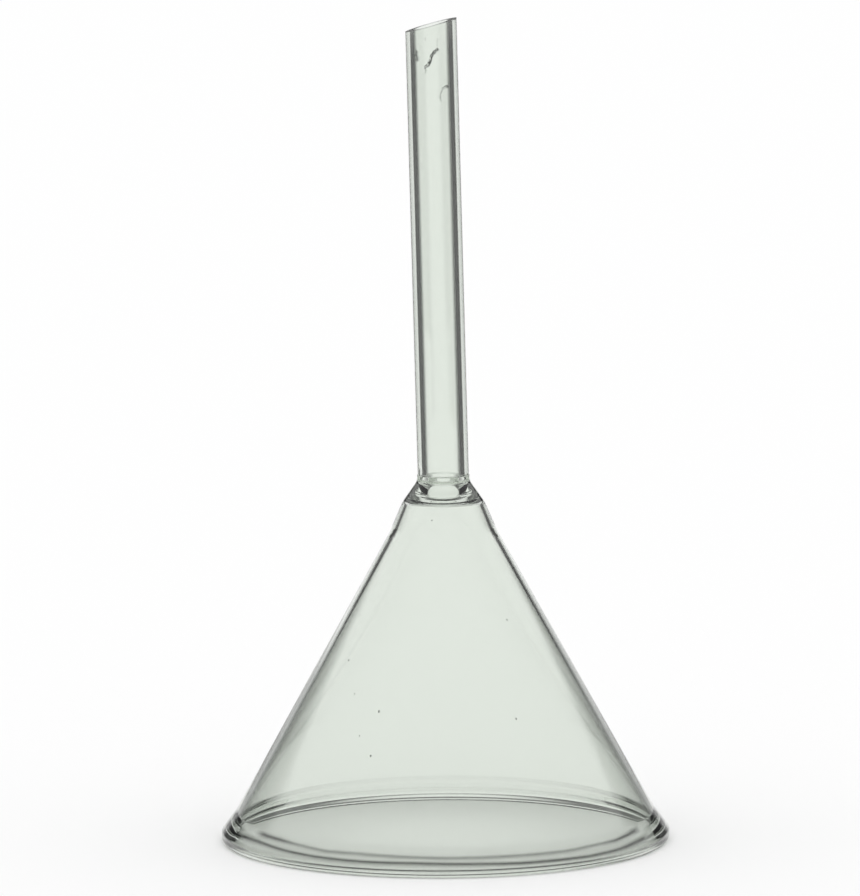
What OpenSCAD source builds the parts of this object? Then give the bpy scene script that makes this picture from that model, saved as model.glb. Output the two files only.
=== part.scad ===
// Conical glass filter funnel, standing mouth down on its rim with the stem upright.
// One piece of glass: a cone with a flared, beaded rim, a thick shoulder and a plain tube stem.
// The stem was fused on by hand and leans a little to one side of the cone's axis.
// The origin is the middle of the mouth, on the plane that the rim rests on.

/* [Cone] */
// Diameter over the rim bead
rim_d = 70; // [50:1:120]
// Full angle of the cone
cone_angle = 58; // [52:1:64]
// Thickness of the cone's wall, square to its surface
cone_wall = 0.9; // [0.7:0.1:1.4]

/* [Rim] */
// Height of the bead's outer edge above the resting plane
bead_h = 1.6; // [1.4:0.1:2.4]
// How far the bead stands out from the line of the cone
bead_proud = 0.61; // [0.5:0.01:0.9]
// Radius of the bead's outer rounds
bead_r = 0.7; // [0.4:0.05:0.75]
// Height at which the outside starts to flare out to the bead
flare_h = 4.6; // [3.6:0.1:5.4]
// Radius of the hollow where the flare starts
flare_r = 2.3; // [1:0.1:3]
// Thickness of the glass across the rim's foot
rim_wall = 1.1; // [1.05:0.05:1.6]
// Height at which the inside starts to thicken towards the rim's foot
thicken_h = 3.2; // [2.8:0.1:4.5]
// Radius of the bend where the inside starts to thicken
thicken_r = 4; // [1:0.1:5]
// Radius of the fire-polished inner edge of the mouth
lip_r = 0.4; // [0.3:0.05:0.6]

/* [Shoulder] */
// Diameter of the shoulder where the stem was fused on
shoulder_d = 12.9; // [11.5:0.1:15]
// How far the shoulder stands out from the line of the cone
shoulder_proud = 0.6; // [0.2:0.1:0.9]
// Height of the slope from the shoulder up to the stem
shoulder_h = 3.4; // [3:0.1:5]
// Height over which the shoulder runs down into the cone
shoulder_run_h = 4.7; // [4:0.1:7]
// Thickness of the glass between the stem's foot and the hollow of the cone
plug_h = 3.1; // [2.8:0.1:4]
// Radius of the round of the shoulder
shoulder_r = 4; // [2:0.5:5]
// Radius of the hollow at the foot of the stem
stem_foot_r = 1.4; // [1:0.1:2]
// Radius of the corner at the top of the hollow
hollow_r = 1.2; // [0.6:0.1:1.4]

/* [Stem] */
// Outside diameter of the stem
stem_d = 8; // [7:0.1:9]
// Diameter of the bore through the stem
bore_d = 5.4; // [4.5:0.1:6]
// Length of the stem from the shoulder to the high side of its slanted tip
stem_length = 72; // [30:1:160]
// Angle of the slanted tip from square
tip_angle = 14; // [0:1:45]
// Radius of the edge where the bore opens into the cone
bore_edge_r = 0.6; // [0.3:0.1:0.8]
// Lean of the stem from the cone's axis, towards -X
stem_lean = 1.2; // [0:0.1:2]
// Height of the seam above the stem's foot, where the tube was fused to the neck
seam_rise = 0.9; // [0.7:0.1:1.5]
// How far the neck stands proud of the tube at the seam
seam_step = 0.1; // [0.05:0.05:0.3]
// How far the ring of glass at the seam stands into the bore
seam_ring = 0.2; // [0.1:0.05:0.4]
// Height of that ring
seam_ring_h = 1.4; // [1:0.1:1.8]
// Depth to which the tube's end sank into the neck
seam_depth = 0.5; // [0.3:0.1:0.6]

/* [Hidden] */
$fn = 128;
glass_tint = "#d3ddd3";
overrun = 1;
// Each round crosses the sides that it runs into by a hair, and its sliver overlaps the chord
round_bite = 0.0005;
round_margin = 0.2;

cone_slope = tan(cone_angle / 2);
rim_r = rim_d / 2;
mouth_r = rim_r - rim_wall;
stem_r = stem_d / 2;
bore_r = bore_d / 2;
shoulder_out_r = shoulder_d / 2;
neck_r = stem_r + seam_step;
ring_r = bore_r - seam_ring;
wall_across = cone_wall / cos(cone_angle / 2);

// Radius of the cone's outside and inside at a height
function outside_r(z) = rim_r - bead_proud - (z - bead_h) * cone_slope;
function inside_r(z) = outside_r(z) - wall_across;

shoulder_z = bead_h + (outside_r(bead_h) + shoulder_proud - shoulder_out_r) / cone_slope;
shoulder_foot_z = shoulder_z - shoulder_run_h;
stem_foot_z = shoulder_z + shoulder_h;
seam_z = stem_foot_z + seam_rise;
ring_foot_z = seam_z - seam_ring_h;
hollow_top_z = stem_foot_z - plug_h;
hollow_top_r = shoulder_out_r - wall_across;
tip_z = stem_foot_z + stem_length;

// Corners of half the body's section, outside from the mouth up to the seam, then down the inside
section_corners = [
    [mouth_r, 0],
    [rim_r, 0],
    [rim_r, bead_h],
    [outside_r(flare_h), flare_h],
    [outside_r(shoulder_foot_z), shoulder_foot_z],
    [shoulder_out_r, shoulder_z],
    [neck_r, stem_foot_z],
    [neck_r, seam_z],
    [ring_r, seam_z],
    [ring_r, ring_foot_z],
    [bore_r, ring_foot_z - seam_ring],
    [bore_r, hollow_top_z],
    [hollow_top_r, hollow_top_z],
    [inside_r(shoulder_foot_z), shoulder_foot_z],
    [inside_r(thicken_h), thicken_h],
];
// Radius of the round at each of those corners, zero where it stays sharp
section_rounds = [
    lip_r,
    bead_r,
    bead_r,
    flare_r,
    shoulder_d,
    shoulder_r,
    stem_foot_r,
    0,
    0,
    0,
    0,
    bore_edge_r,
    hollow_r,
    shoulder_d,
    thicken_r,
];

function unit(v) = v / norm(v);
function turns_left(a, p, b) = cross(p - a, b - p) > 0;

// The two points where a round of radius r leaves the sides of the corner p between a and b
function round_ends(a, p, b, r) =
    let (
        to_a = unit(a - p),
        to_b = unit(b - p),
        setback = r / tan(acos(to_a * to_b) / 2)
    )
    [p + to_a * setback, p + to_b * setback];

// The middle of that round
function round_middle(a, p, b, r) =
    let (
        to_a = unit(a - p),
        to_b = unit(b - p)
    )
    p + unit(to_a + to_b) * r / sin(acos(to_a * to_b) / 2);

// The sliver of a disc between a corner's round and the chord across its ends
module round_sliver(a, p, b, r) {
    ends = round_ends(a, p, b, r);
    reach = p - (ends[0] + ends[1]) / 2;
    past_end = unit(ends[1] - ends[0]) * round_margin;
    past_chord = unit(reach) * round_margin;
    intersection() {
        translate(round_middle(a, p, b, r)) circle(r + round_bite);
        polygon([
            ends[0] - past_end - past_chord,
            ends[0] - past_end + reach,
            ends[1] + past_end + reach,
            ends[1] + past_end - past_chord,
        ]);
    }
}

// A closed outline, counterclockwise, with a true arc at each corner that has a radius
module rounded_outline(corners, radii) {
    last = len(corners) - 1;
    before = [for (i = [0:last]) corners[i == 0 ? last : i - 1]];
    after = [for (i = [0:last]) corners[i == last ? 0 : i + 1]];
    chords = [
        for (i = [0:last])
            each radii[i] > 0 ? round_ends(before[i], corners[i], after[i], radii[i]) : [corners[i]]
    ];
    difference() {
        union() {
            polygon(chords);
            for (i = [0:last])
                if (radii[i] > 0 && turns_left(before[i], corners[i], after[i]))
                    round_sliver(before[i], corners[i], after[i], radii[i]);
        }
        for (i = [0:last])
            if (radii[i] > 0 && !turns_left(before[i], corners[i], after[i]))
                round_sliver(before[i], corners[i], after[i], radii[i]);
    }
}

// The slanted cut across the tube while it still stands upright, with its high side towards +X
module tip_cut() {
    cut = stem_d + 2 * overrun;
    translate([stem_r, 0, tip_z])
        rotate([0, -tip_angle, 0])
            translate([overrun - 2 * cut, -cut / 2, 0])
                cube([2 * cut, cut, cut]);
}

// The tube from its end in the neck up to the cut, leaning from the middle of the seam
module stem() {
    tube_foot_z = seam_z - seam_depth;
    tube_h = tip_z + overrun - tube_foot_z;
    translate([0, 0, seam_z])
        rotate([0, -stem_lean, 0])
            translate([0, 0, -seam_z])
                difference() {
                    translate([0, 0, tube_foot_z]) cylinder(h = tube_h, r = stem_r);
                    translate([0, 0, tube_foot_z - overrun])
                        cylinder(h = tube_h + 2 * overrun, r = bore_r);
                    tip_cut();
                }
}

module funnel() {
    color(glass_tint)
        union() {
            rotate_extrude() rounded_outline(section_corners, section_rounds);
            stem();
        }
}

funnel();
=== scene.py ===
import math

import bpy
from mathutils import Matrix, Vector


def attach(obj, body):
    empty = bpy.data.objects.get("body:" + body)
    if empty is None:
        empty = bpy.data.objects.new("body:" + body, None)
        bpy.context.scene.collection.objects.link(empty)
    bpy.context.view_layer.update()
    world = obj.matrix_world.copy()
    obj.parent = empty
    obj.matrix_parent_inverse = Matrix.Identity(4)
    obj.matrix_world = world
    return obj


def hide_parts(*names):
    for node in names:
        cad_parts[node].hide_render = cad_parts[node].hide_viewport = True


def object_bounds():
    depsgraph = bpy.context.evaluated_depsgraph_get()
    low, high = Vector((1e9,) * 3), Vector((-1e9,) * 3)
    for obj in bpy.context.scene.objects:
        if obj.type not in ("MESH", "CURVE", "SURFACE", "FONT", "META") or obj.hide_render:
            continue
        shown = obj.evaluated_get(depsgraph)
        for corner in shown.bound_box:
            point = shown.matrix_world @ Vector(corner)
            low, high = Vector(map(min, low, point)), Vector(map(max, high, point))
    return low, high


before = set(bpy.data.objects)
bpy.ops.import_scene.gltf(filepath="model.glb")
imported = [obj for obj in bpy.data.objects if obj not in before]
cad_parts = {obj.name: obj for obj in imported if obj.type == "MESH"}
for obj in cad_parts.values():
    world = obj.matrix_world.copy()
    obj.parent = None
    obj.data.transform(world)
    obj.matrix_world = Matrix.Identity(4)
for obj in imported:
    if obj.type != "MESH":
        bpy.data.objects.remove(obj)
cad_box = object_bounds()


# The camera stands a little higher than the tip of the stem and looks slightly down on the funnel, from
# far enough away that the stem hardly tapers. It is rolled a hair, so that all leans a little to the left.
image_w, image_h = 860, 896
sensor_mm = 36
camera_distance = 1.2
camera_pitch = math.radians(7.35)
camera_roll = math.radians(-0.38)
pixels_per_m = 6430
aim = Vector((0, 0, 0.060))
aim_pixel = (443.1, 458.2)

camera_data = bpy.data.cameras.new("camera")
camera_data.sensor_width = sensor_mm
camera_data.lens = camera_distance * pixels_per_m / max(image_w, image_h) * sensor_mm
camera = bpy.data.objects.new("camera", camera_data)
bpy.context.scene.collection.objects.link(camera)
camera.location = aim + camera_distance * Vector((0, -math.cos(camera_pitch), math.sin(camera_pitch)))
picture_middle = aim + Vector((
    (image_w / 2 - aim_pixel[0]) / pixels_per_m,
    0,
    (aim_pixel[1] - image_h / 2) / pixels_per_m,
))
looking = (picture_middle - camera.location).to_track_quat("-Z", "Y").to_matrix().to_4x4()
camera.matrix_world = Matrix.Translation(camera.location) @ looking @ Matrix.Rotation(camera_roll, 4, "Z")
bpy.context.scene.camera = camera


# The funnel's body: a cone of clear glass, opened and spun on the lathe, that flares out to a small
# fire-polished bead round the mouth and closes to a thick neck. Half its section is drawn and spun.
mm = 0.001
rim_r = cad_box[1].x
cone_half_angle = math.radians(29)
cone_wall = 0.9 * mm
bead_h = 1.6 * mm
bead_proud = 0.61 * mm
bead_r = 0.7 * mm
flare_h = 4.6 * mm
flare_r = 2.3 * mm
rim_wall = 1.1 * mm
thicken_h = 3.2 * mm
thicken_r = 4.0 * mm
lip_r = 0.4 * mm
shoulder_out_r = 6.45 * mm
shoulder_proud = 0.6 * mm
shoulder_h = 3.4 * mm
shoulder_run_h = 4.7 * mm
shoulder_run_r = 12.9 * mm
shoulder_r = 4 * mm
plug_h = 3.1 * mm
hollow_r = 1.2 * mm
bore_edge_r = 0.6 * mm
stem_foot_r = 1.4 * mm
seam_rise = 0.9 * mm
seam_step = 0.1 * mm
seam_round = 0.06 * mm
seam_ring = 0.2 * mm
seam_ring_h = 1.4 * mm
ring_round = 0.12 * mm
stem_length = 72 * mm
stem_r = 4.0 * mm
bore_r = 2.7 * mm
tube_spare = 3 * mm
# Points closer together than this are one point
same = 1e-6

cone_slope = math.tan(cone_half_angle)
wall_across = cone_wall / math.cos(cone_half_angle)
mouth_r = rim_r - rim_wall
neck_r = stem_r + seam_step
ring_r = bore_r - seam_ring


def outside_r(z):
    """The radius of the cone's outside at a height."""
    return rim_r - bead_proud - (z - bead_h) * cone_slope


shoulder_z = bead_h + (outside_r(bead_h) + shoulder_proud - shoulder_out_r) / cone_slope
shoulder_foot_z = shoulder_z - shoulder_run_h
stem_foot_z = shoulder_z + shoulder_h
seam_z = stem_foot_z + seam_rise
ring_foot_z = seam_z - seam_ring_h
hollow_top_z = stem_foot_z - plug_h
tip_z = stem_foot_z + stem_length

# Each corner has its radius, its height, the radius of its round and the number of faces across it
section = [
    (mouth_r, 0, lip_r, 10),
    (rim_r, 0, bead_r, 14),
    (rim_r, bead_h, bead_r, 10),
    (outside_r(flare_h), flare_h, flare_r, 8),
    (outside_r(shoulder_foot_z), shoulder_foot_z, shoulder_run_r, 8),
    (shoulder_out_r, shoulder_z, shoulder_r, 10),
    (neck_r, stem_foot_z, stem_foot_r, 10),
    (neck_r, seam_z, seam_round, 3),
    (stem_r, seam_z, seam_round, 3),
    (stem_r, tip_z + tube_spare, 0, 0),
    (bore_r, tip_z + tube_spare, 0, 0),
    (bore_r, seam_z, seam_round, 3),
    (ring_r, seam_z, ring_round, 5),
    (ring_r, ring_foot_z, ring_round, 5),
    (bore_r, ring_foot_z - seam_ring, ring_round, 5),
    (bore_r, hollow_top_z, bore_edge_r, 8),
    (shoulder_out_r - wall_across, hollow_top_z, hollow_r, 10),
    (outside_r(shoulder_foot_z) - wall_across, shoulder_foot_z, shoulder_run_r, 8),
    (outside_r(thicken_h) - wall_across, thicken_h, thicken_r, 6),
]

bpy.ops.object.select_all(action="DESELECT")
bpy.ops.mesh.primitive_circle_add(vertices=len(section), radius=rim_r)
funnel = bpy.context.object
funnel.name = funnel.data.name = "glass_funnel"
for vertex, (r, z, _, _) in zip(funnel.data.vertices, section):
    vertex.co = (r, 0, z)


def select_where(kind, test):
    """Selects only the points or the edges of the section that pass the test, and goes into edit mode."""
    bpy.ops.object.mode_set(mode="EDIT")
    bpy.ops.mesh.select_mode(type=kind)
    bpy.ops.mesh.select_all(action="DESELECT")
    bpy.ops.object.mode_set(mode="OBJECT")
    for part in funnel.data.vertices if kind == "VERT" else funnel.data.edges:
        part.select = test(part)
    bpy.ops.object.mode_set(mode="EDIT")


for i, (r, z, radius, faces) in enumerate(section):
    if radius == 0:
        continue
    here = Vector((r, 0, z))
    before = section[i - 1]
    after = section[(i + 1) % len(section)]
    to_last = (Vector((before[0], 0, before[1])) - here).normalized()
    to_next = (Vector((after[0], 0, after[1])) - here).normalized()
    setback = radius / math.tan(to_last.angle(to_next) / 2)
    select_where("VERT", lambda vertex: (vertex.co - here).length < same)
    bpy.ops.mesh.bevel(offset=setback, offset_type="OFFSET", segments=faces, affect="VERTICES")

# Long straight stretches get more points: many on the outside near the rim, where the tools left rings,
# and below the tip, where the stem is cracked, and fewer elsewhere
mark_top_z = 5.2 * mm
crack_low_z = 115.4 * mm
crack_top_z = 126.3 * mm
ring_stretch = 0.15 * mm
crack_stretch = 0.1 * mm
plain_stretch = 3.0 * mm
for height in (mark_top_z, crack_low_z, crack_top_z):
    bpy.ops.mesh.select_all(action="SELECT")
    bpy.ops.mesh.bisect(plane_co=(0, 0, height), plane_no=(0, 0, 1))


def stretch_of(edge):
    """The spacing wanted along an edge of the section."""
    ends = [funnel.data.vertices[k].co for k in edge.vertices]
    bottom, top = sorted(co.z for co in ends)
    outside = min(co.x - outside_r(co.z) for co in ends) > -wall_across / 2
    by_crack = bottom > crack_low_z - same and top < crack_top_z + same
    if outside and top < mark_top_z + same:
        return ring_stretch
    if by_crack and ends[0].x > stem_r - same:
        return crack_stretch
    return plain_stretch


def cuts_of(edge):
    """How many cuts an edge of the section needs for its spacing."""
    a, b = (funnel.data.vertices[k].co for k in edge.vertices)
    return int((a - b).length / stretch_of(edge))


# A point close to each end of a long stretch keeps the shading of the round from running on along it
hold = 0.08 * mm
bpy.ops.object.mode_set(mode="OBJECT")
for long_edge in [edge.index for edge in funnel.data.edges if cuts_of(edge) > 0]:
    ends = list(funnel.data.edges[long_edge].vertices)
    select_where("EDGE", lambda edge: edge.index == long_edge)
    bpy.ops.mesh.subdivide(number_cuts=2)
    bpy.ops.object.mode_set(mode="OBJECT")
    a, b = (funnel.data.vertices[k].co.copy() for k in ends)
    for vertex in funnel.data.vertices[-2:]:
        near, far = (a, b) if (vertex.co - a).length < (vertex.co - b).length else (b, a)
        vertex.co = near + (far - near).normalized() * hold
for cuts in sorted({cuts_of(edge) for edge in funnel.data.edges} - {0}):
    select_where("EDGE", lambda edge: cuts_of(edge) == cuts)
    bpy.ops.mesh.subdivide(number_cuts=cuts)
    bpy.ops.object.mode_set(mode="OBJECT")

spin_steps = 240
bpy.ops.object.mode_set(mode="EDIT")
bpy.ops.mesh.select_mode(type="VERT")
bpy.ops.mesh.select_all(action="SELECT")
bpy.ops.mesh.spin(steps=spin_steps, angle=2 * math.pi, center=(0, 0, 0), axis=(0, 0, 1))
bpy.ops.mesh.select_all(action="SELECT")
bpy.ops.mesh.remove_doubles(threshold=same)
bpy.ops.mesh.normals_make_consistent(inside=False)


# The tip of the stem: the glass tube was cut off aslant, and its end was not melted round.
# The cut is a thin flat ring, dull in the middle, with a clear strip along each of its two edges.
tip_angle = math.radians(14)
clear_strip = 0.25 * mm
bpy.ops.mesh.select_all(action="SELECT")
bpy.ops.mesh.bisect(
    plane_co=(stem_r, 0, tip_z),
    plane_no=(-math.sin(tip_angle), 0, math.cos(tip_angle)),
    clear_outer=True,
)
bpy.ops.mesh.select_all(action="DESELECT")
bpy.ops.mesh.select_non_manifold()
bpy.ops.mesh.bridge_edge_loops()
bpy.ops.mesh.inset(thickness=clear_strip)
bpy.ops.mesh.select_all(action="SELECT")
bpy.ops.mesh.normals_make_consistent(inside=False)
bpy.ops.object.mode_set(mode="OBJECT")


# The hand work and the wear: the tube was fused on a little aslant, and shallow rings run in the glass along
# the front of the rim, as a rolling tool leaves them. Knocks left a jagged crack, a worn patch and a hooked
# scratch below the tip.
stem_lean = math.radians(1.2)
to_seam = Matrix.Translation((0, 0, seam_z))
lean = to_seam @ Matrix.Rotation(-stem_lean, 4, "Y") @ to_seam.inverted()
# Each groove has its depth, half its width, how dark its painted shade is, the share of it left at the back,
# and its heights in mm at angles from the middle of the front to the right, from one of its ends to the
# other
grooves = (
    (0.05 * mm, 0.12 * mm, 0.6, 0.15, ((-80, 1.11), (80, 1.11))),
    (0.12 * mm, 0.28 * mm, 1.0, 0.0, (
        (-76, 2.65), (-66, 2.85), (-58, 2.85), (-48, 2.55), (-36, 2.30), (-23, 2.20), (-8, 2.28),
        (6, 2.15), (20, 1.95), (40, 1.90), (50, 2.05), (59, 2.35), (68, 2.65),
    )),
    (0.10 * mm, 0.26 * mm, 0.8, 0.0, (
        (-63, 4.00), (-58, 3.90), (-49, 3.75), (-41, 3.50), (-33, 3.20), (-24, 3.25), (0, 3.00),
        (33, 3.00), (43, 3.25), (51, 3.30), (60, 3.75), (66, 4.00),
    )),
)
# Towards its ends a groove fades out over the first of these angles, in degrees, and over the second its
# painted shade grows darker and, by the share after them, the groove grows broader
groove_end = 5
groove_broad = 22
groove_spread_share = 0.7
# Each scratch has its depth, half its width, how dark its painted shade is, and its points in mm, to the
# right and up
scratches = (
    (0.26 * mm, 0.12 * mm, 0.95, (
        (0.92, 123.9), (0.44, 123.4), (-0.03, 122.9), (-0.19, 122.2), (-0.51, 121.45), (-1.05, 121.2),
    )),
    (0.12 * mm, 0.09 * mm, 0.5, ((-1.05, 121.2), (-0.95, 120.8), (-1.02, 120.3))),
    (0.10 * mm, 0.10 * mm, 0.0, ((0.40, 123.65), (-0.30, 122.7), (-0.35, 122.1), (-0.80, 121.5))),
    (0.03 * mm, 0.07 * mm, 0.4, ((0.95, 125.6), (0.85, 124.7), (0.92, 123.9))),
    (0.03 * mm, 0.07 * mm, 0.4, ((-0.90, 125.8), (-0.88, 125.3))),
    (0.05 * mm, 0.20 * mm, 0.4, ((-2.15, 123.8), (-2.20, 123.1), (-2.05, 122.4))),
    (0.09 * mm, 0.12 * mm, 0.5, (
        (2.30, 118.2), (1.98, 118.1), (1.55, 117.85), (1.30, 117.5), (1.14, 116.9), (1.10, 116.5),
        (1.22, 116.0),
    )),
)
# The sides of a scratch waver by a share of half its width, as two waves up and across the glass do
jag_share = 0.25
jag_up = 0.11 * mm
jag_across = 0.17 * mm
jag_shift = 1
# The dull part of the cut starts this far in from the tube's two faces
dull_from = 0.1 * mm


def smooth(low, high, value):
    """Runs from 0 to 1 as the value goes from low to high, with soft ends."""
    t = min(1, max(0, (value - low) / (high - low)))
    return t * t * (3 - 2 * t)


def nearest(points, here):
    """The distance to a line through points in mm."""
    ways = []
    for start, end in zip(points, points[1:]):
        start, end = Vector(start) * mm, Vector(end) * mm
        along = (here - start).dot(end - start) / (end - start).length_squared
        ways.append((here - start.lerp(end, min(1, max(0, along)))).length)
    return min(ways)


def height_along(points, angle):
    """The height of a groove at an angle, between its points."""
    for (a, low), (b, high) in zip(points, points[1:]):
        if angle < b:
            break
    return (low + (high - low) * min(1, max(0, (angle - a) / (b - a)))) * mm


# The dark colour set along the middles of the rings and scratches is painted shade, standing in for the dark
# lines that light draws in them
wear = []
painted_shade = []
for vertex in funnel.data.vertices:
    x, y, z = vertex.co
    r = math.hypot(x, y)
    on_stem = z > seam_z + seam_round
    cut = rough = dark = 0
    if crack_low_z < z < crack_top_z and y < 0 and r > stem_r - same:
        jag = jag_share * math.sin(z / jag_up) * math.sin(x / jag_across + jag_shift)
        for depth, half, painted_shade_depth, points in scratches:
            away = nearest(points, Vector((x, z))) / half + jag
            near = math.exp(-away * away)
            cut += depth * near
            dark = max(dark, painted_shade_depth * near)
    elif on_stem and bore_r + dull_from < r < stem_r - dull_from:
        rough = 1
    elif z < mark_top_z and r > outside_r(z) - wall_across / 2:
        angle = math.degrees(math.atan2(x, -y))
        for depth, half, painted_shade_depth, at_back, points in grooves:
            from_end = min(angle - points[0][0], points[-1][0] - angle)
            at_end = 1 - smooth(0, groove_broad, from_end)
            broad = half * (1 + groove_spread_share * at_end)
            away = (z - height_along(points, angle)) / broad
            there = at_back + (1 - at_back) * smooth(0, groove_end, from_end)
            near = there * math.exp(-away * away)
            cut += depth * near
            dark = max(dark, min(1, painted_shade_depth * (1 + at_end)) * near)
    vertex.co.x *= (r - cut) / r
    vertex.co.y *= (r - cut) / r
    if on_stem:
        vertex.co = lean @ vertex.co
    wear.append(rough)
    painted_shade.append(dark)
for name, values in (("wear", wear), ("painted_shade", painted_shade)):
    funnel.data.attributes.new(name, "FLOAT", "POINT").data.foreach_set("value", values)


# The seeds: small bubbles of air, caught in the glass of the wall and drawn out as it was worked.
# Each has its height in mm, its turn in degrees round the axis, and its radius.
seed_stretch = 1.5
seed_fineness = 2
for height, turn, radius in (
    (23.24, -117.3, 0.15 * mm),
    (36.28, -151.5, 0.09 * mm),
    (29.87, -143.5, 0.12 * mm),
    (25.36, -131.6, 0.09 * mm),
    (19.56, -123.0, 0.10 * mm),
    (16.89, -116.5, 0.14 * mm),
    (51.00, -105.5, 0.09 * mm),
    (36.11, -49.5, 0.11 * mm),
    (22.03, -61.2, 0.13 * mm),
):
    across = outside_r(height * mm) - wall_across / 2
    turn = math.radians(turn)
    bpy.ops.object.select_all(action="DESELECT")
    bpy.ops.mesh.primitive_ico_sphere_add(
        subdivisions=seed_fineness,
        radius=radius,
        location=(across * math.cos(turn), across * math.sin(turn), height * mm),
        scale=(1, 1, seed_stretch),
    )
    bpy.ops.object.mode_set(mode="EDIT")
    bpy.ops.mesh.select_all(action="SELECT")
    bpy.ops.mesh.flip_normals()
    bpy.ops.object.mode_set(mode="OBJECT")
    funnel.select_set(True)
    bpy.context.view_layer.objects.active = funnel
    bpy.ops.object.join()

sharp_angle = math.radians(40)
bpy.ops.object.shade_smooth_by_angle(angle=sharp_angle)


# The glass: clear soda-lime, worked soft over a flame. Its surface is bright and smooth, and it is
# faintly green, which shows where the eye looks through a long way of glass. Along the rings and scratches
# its colour is painted nearly black: painted shade, for the dark lines that light draws in them.
def linear(hex_colour):
    """The linear colour of an sRGB hex value."""
    parts = [int(hex_colour[k:k + 2], 16) / 255 for k in (1, 3, 5)]
    return [c / 12.92 if c <= 0.04045 else ((c + 0.055) / 1.055) ** 2.4 for c in parts] + [1]


def add_node(tree, kind, settings=None, links=None):
    """A node with its input values or properties, and links from other nodes' outputs."""
    node = tree.nodes.new(kind)
    for name, value in (settings or {}).items():
        if isinstance(name, int) or name in node.inputs:
            node.inputs[name].default_value = value
        else:
            setattr(node, name, value)
    for name, output in (links or {}).items():
        tree.links.new(output, node.inputs[name])
    return node


# A Mix node's colour sockets, by number because its other sockets have the same names
mix_a, mix_b, mix_result = 6, 7, 2
cut_roughness = 0.5
soda_lime = bpy.data.materials.new("soda_lime_glass")
soda_lime.use_nodes = True
tree = soda_lime.node_tree
tree.nodes.clear()
wear_mask = add_node(tree, "ShaderNodeAttribute", {"attribute_name": "wear"})
roughness = add_node(tree, "ShaderNodeMath", {"operation": "MULTIPLY", 1: cut_roughness}, {
    0: wear_mask.outputs["Fac"],
})
# The colour runs from the glass's own pale colour to nearly black, which is painted shade along the rings
# and scratches
painted_shade_mask = add_node(tree, "ShaderNodeAttribute", {"attribute_name": "painted_shade"})
glass_colour_and_painted_shade = add_node(tree, "ShaderNodeMix", {
    "data_type": "RGBA",
    mix_a: linear("#f3f6f2"),
    mix_b: linear("#10120f"),
}, {0: painted_shade_mask.outputs["Fac"]})
glass_shader = add_node(tree, "ShaderNodeBsdfPrincipled", {
    "IOR": 1.52,
    "Transmission Weight": 1.0,
}, {"Base Color": glass_colour_and_painted_shade.outputs[mix_result], "Roughness": roughness.outputs[0]})
tint = add_node(tree, "ShaderNodeVolumeAbsorption", {"Color": linear("#e4e9e2"), "Density": 120})
add_node(tree, "ShaderNodeOutputMaterial", links={
    "Surface": glass_shader.outputs["BSDF"],
    "Volume": tint.outputs["Volume"],
})
funnel.data.materials.clear()
funnel.data.materials.append(soda_lime)
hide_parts("funnel")
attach(funnel, "root")


# The table: a wide top with matt white paint, which the funnel stands on, mouth down.
# It keeps the soft shadow of the glass and runs on to the white light behind it.
floor_size = 8.0
bpy.ops.object.select_all(action="DESELECT")
bpy.ops.mesh.primitive_plane_add(size=floor_size)
floor = bpy.context.object
floor.name = "floor"
floor_paint = bpy.data.materials.new("white_table_paint")
floor_paint.use_nodes = True
paint = floor_paint.node_tree.nodes["Principled BSDF"].inputs
paint["Base Color"].default_value = linear("#f9f9f9")
paint["Roughness"].default_value = 1.0
paint["Specular IOR Level"].default_value = 0.0
floor.data.materials.append(floor_paint)


# The flags: graduated scrims round the glass, from clear at one edge to black cloth further out, which draw
# its dark edges. Only light that goes through or off the glass finds them, so that the camera doesn't see
# them by themselves, and light that has already met the table finds them bright.
cloth_dim = 0.08
table_bright = 1.3
met_table = 0.5
flag_cloth = bpy.data.materials.new("graduated_scrim_cloth")
flag_cloth.use_nodes = True
tree = flag_cloth.node_tree
tree.nodes.clear()
weave = add_node(tree, "ShaderNodeVertexColor", {"layer_name": "weave"})
path = add_node(tree, "ShaderNodeLightPath")
from_table = add_node(tree, "ShaderNodeMath", {"operation": "GREATER_THAN", 1: met_table}, {
    0: path.outputs["Diffuse Depth"],
})
cover = add_node(tree, "ShaderNodeMath", {"operation": "MAXIMUM"}, {
    0: weave.outputs["Color"],
    1: from_table.outputs[0],
})
cloth_light = add_node(tree, "ShaderNodeMix", {
    "data_type": "RGBA",
    mix_a: (cloth_dim, cloth_dim, cloth_dim, 1),
    mix_b: (table_bright, table_bright, table_bright, 1),
}, {0: from_table.outputs[0]})
dim_light = add_node(tree, "ShaderNodeEmission", {"Strength": 1.0}, {
    "Color": cloth_light.outputs[mix_result],
})
clear = add_node(tree, "ShaderNodeBsdfTransparent")
scrim = add_node(tree, "ShaderNodeMixShader", links={
    0: cover.outputs[0],
    1: clear.outputs["BSDF"],
    2: dim_light.outputs["Emission"],
})
add_node(tree, "ShaderNodeOutputMaterial", links={"Surface": scrim.outputs["Shader"]})


def hang_scrim(name, columns, rows, at):
    """A sheet of scrim: at gives a point and how dense it is there, for shares across and up the sheet."""
    bpy.ops.object.select_all(action="DESELECT")
    bpy.ops.mesh.primitive_grid_add(x_subdivisions=columns, y_subdivisions=rows, size=1)
    sheet = bpy.context.object
    sheet.name = name
    weave = sheet.data.color_attributes.new("weave", "FLOAT_COLOR", "POINT")
    for vertex, dab in zip(sheet.data.vertices, weave.data):
        vertex.co, density = at(vertex.co.x + 0.5, vertex.co.y + 0.5)
        dab.color = (density, density, density, 1)
    sheet.data.materials.append(flag_cloth)
    sheet.visible_camera = sheet.visible_diffuse = sheet.visible_shadow = False


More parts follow.
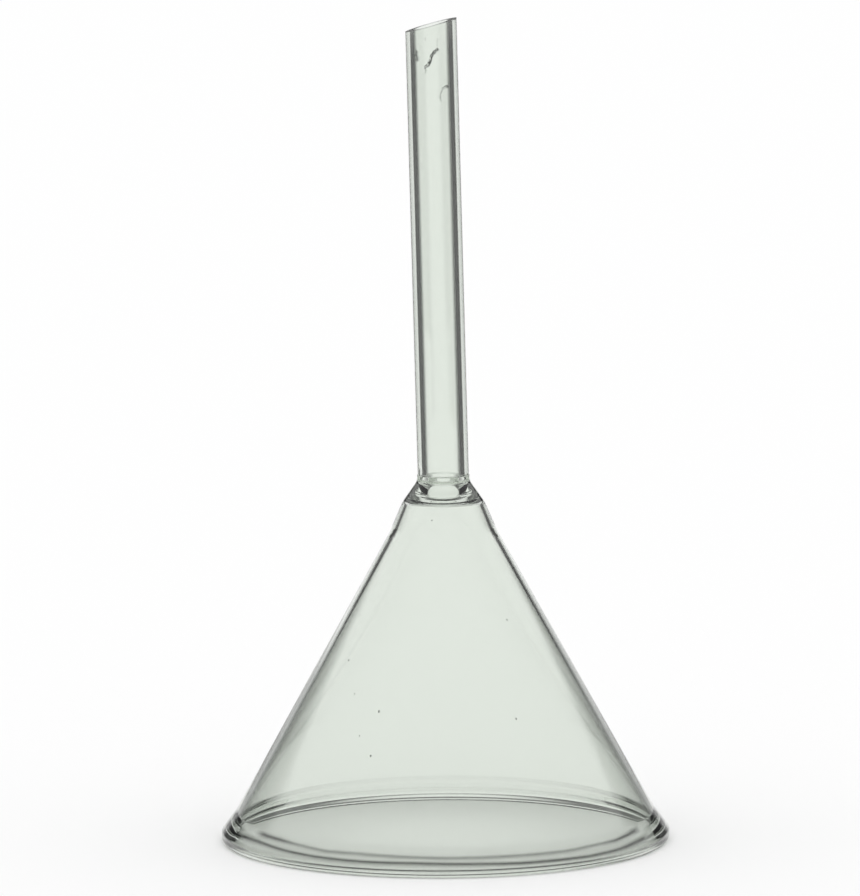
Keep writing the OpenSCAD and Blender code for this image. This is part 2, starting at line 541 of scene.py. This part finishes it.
# Each side flag has its distance from the axis, its bottom, its height and its density. Its angles are from
# straight behind the glass, to the right: where it starts, is densest, is so to, and ends. Its top fades.
flag_columns = 48
flag_rows = 16
flag_fade_share = 0.75
for name, distance, bottom, height, densest, (start, full, full_to, end) in (
    ("flag_right", 0.36, 0.002, 0.135, 1.0, (18, 35, 66, 95)),
    ("flag_left", 0.30, 0.002, 0.124, 1.0, (-22, -37, -66, -95)),
    ("flag_low_right", 0.12, 0.002, 0.044, 0.38, (12, 24, 66, 95)),
    ("flag_low_left", 0.12, 0.002, 0.034, 0.45, (-12, -24, -66, -95)),
    ("flag_front_right", 0.60, 0.002, 0.10, 1.0, (96, 112, 125, 150)),
    ("flag_front_left", 0.60, 0.002, 0.10, 1.0, (-96, -112, -125, -150)),
):
    def flag_at(across, up):
        angle = start + (end - start) * across
        turn = math.radians(angle)
        point = (distance * math.sin(turn), distance * math.cos(turn), bottom + height * up)
        inner = smooth(abs(start), abs(full), abs(angle))
        outer = smooth(abs(full_to), abs(end), abs(angle))
        return point, densest * inner * (1 - outer) * (1 - smooth(flag_fade_share, 1, up))

    hang_scrim(name, flag_columns, flag_rows, flag_at)

# Two grey cloths lie on the table beside and behind the glass, and draw the low edges of the cone. Across,
# each starts, is darkest and ends at these distances, and it fades in from its front and out at its back.
cloth_squares = 32
cloth_from, cloth_dark, cloth_to = 0.036, 0.090, 0.20
cloth_front, cloth_back, cloth_end = 0.04, 0.24, 0.33
cloth_edge_share = 0.8
cloth_depth = 0.65
cloth_lift = 0.0006
for name, side in (("cloth_right", 1), ("cloth_left", -1)):
    def cloth_at(across, back):
        x = cloth_from + across * (cloth_to - cloth_from)
        y = back * cloth_end
        over = smooth(cloth_from, cloth_dark, x) * (1 - smooth(cloth_edge_share * cloth_to, cloth_to, x))
        along = smooth(0, cloth_front, y) * (1 - smooth(cloth_back, cloth_end, y))
        return (side * x, y, cloth_lift), cloth_depth * over * along

    hang_scrim(name, cloth_squares, cloth_squares, cloth_at)

# The dark ceiling is a wide dome of the same cloth that starts just above the horizon. By its elevation in
# degrees, it is darkest low down and opens to a thin grey higher up.
dome_columns = 64
dome_rows = 48
dome_r = 3.0
dome_low = 2.8
dome_dark = 6.0
dome_dark_to = 9.0
dome_grey = 19.0
dome_open = 0.84


def dome_at(around, up):
    turn = 2 * math.pi * around
    elevation = dome_low + (90 - dome_low) * up ** 2
    level = dome_r * math.cos(math.radians(elevation))
    point = (level * math.cos(turn), level * math.sin(turn), dome_r * math.sin(math.radians(elevation)))
    dark = smooth(dome_low, dome_dark, elevation)
    return point, dark - dome_open * smooth(dome_dark_to, dome_grey, elevation)


hang_scrim("flag_ceiling", dome_columns, dome_rows, dome_at)


# The studio light: even white light from all round, as from white walls, and no lamp.
# It is only a little stronger than white, so that the table's paint comes out white.
studio_strength = 1.05
world = bpy.data.worlds.new("studio_light")
bpy.context.scene.world = world
world.use_nodes = True
world.node_tree.nodes["Background"].inputs["Color"].default_value = (1, 1, 1, 1)
world.node_tree.nodes["Background"].inputs["Strength"].default_value = studio_strength
bpy.context.scene.view_settings.view_transform = "Standard"
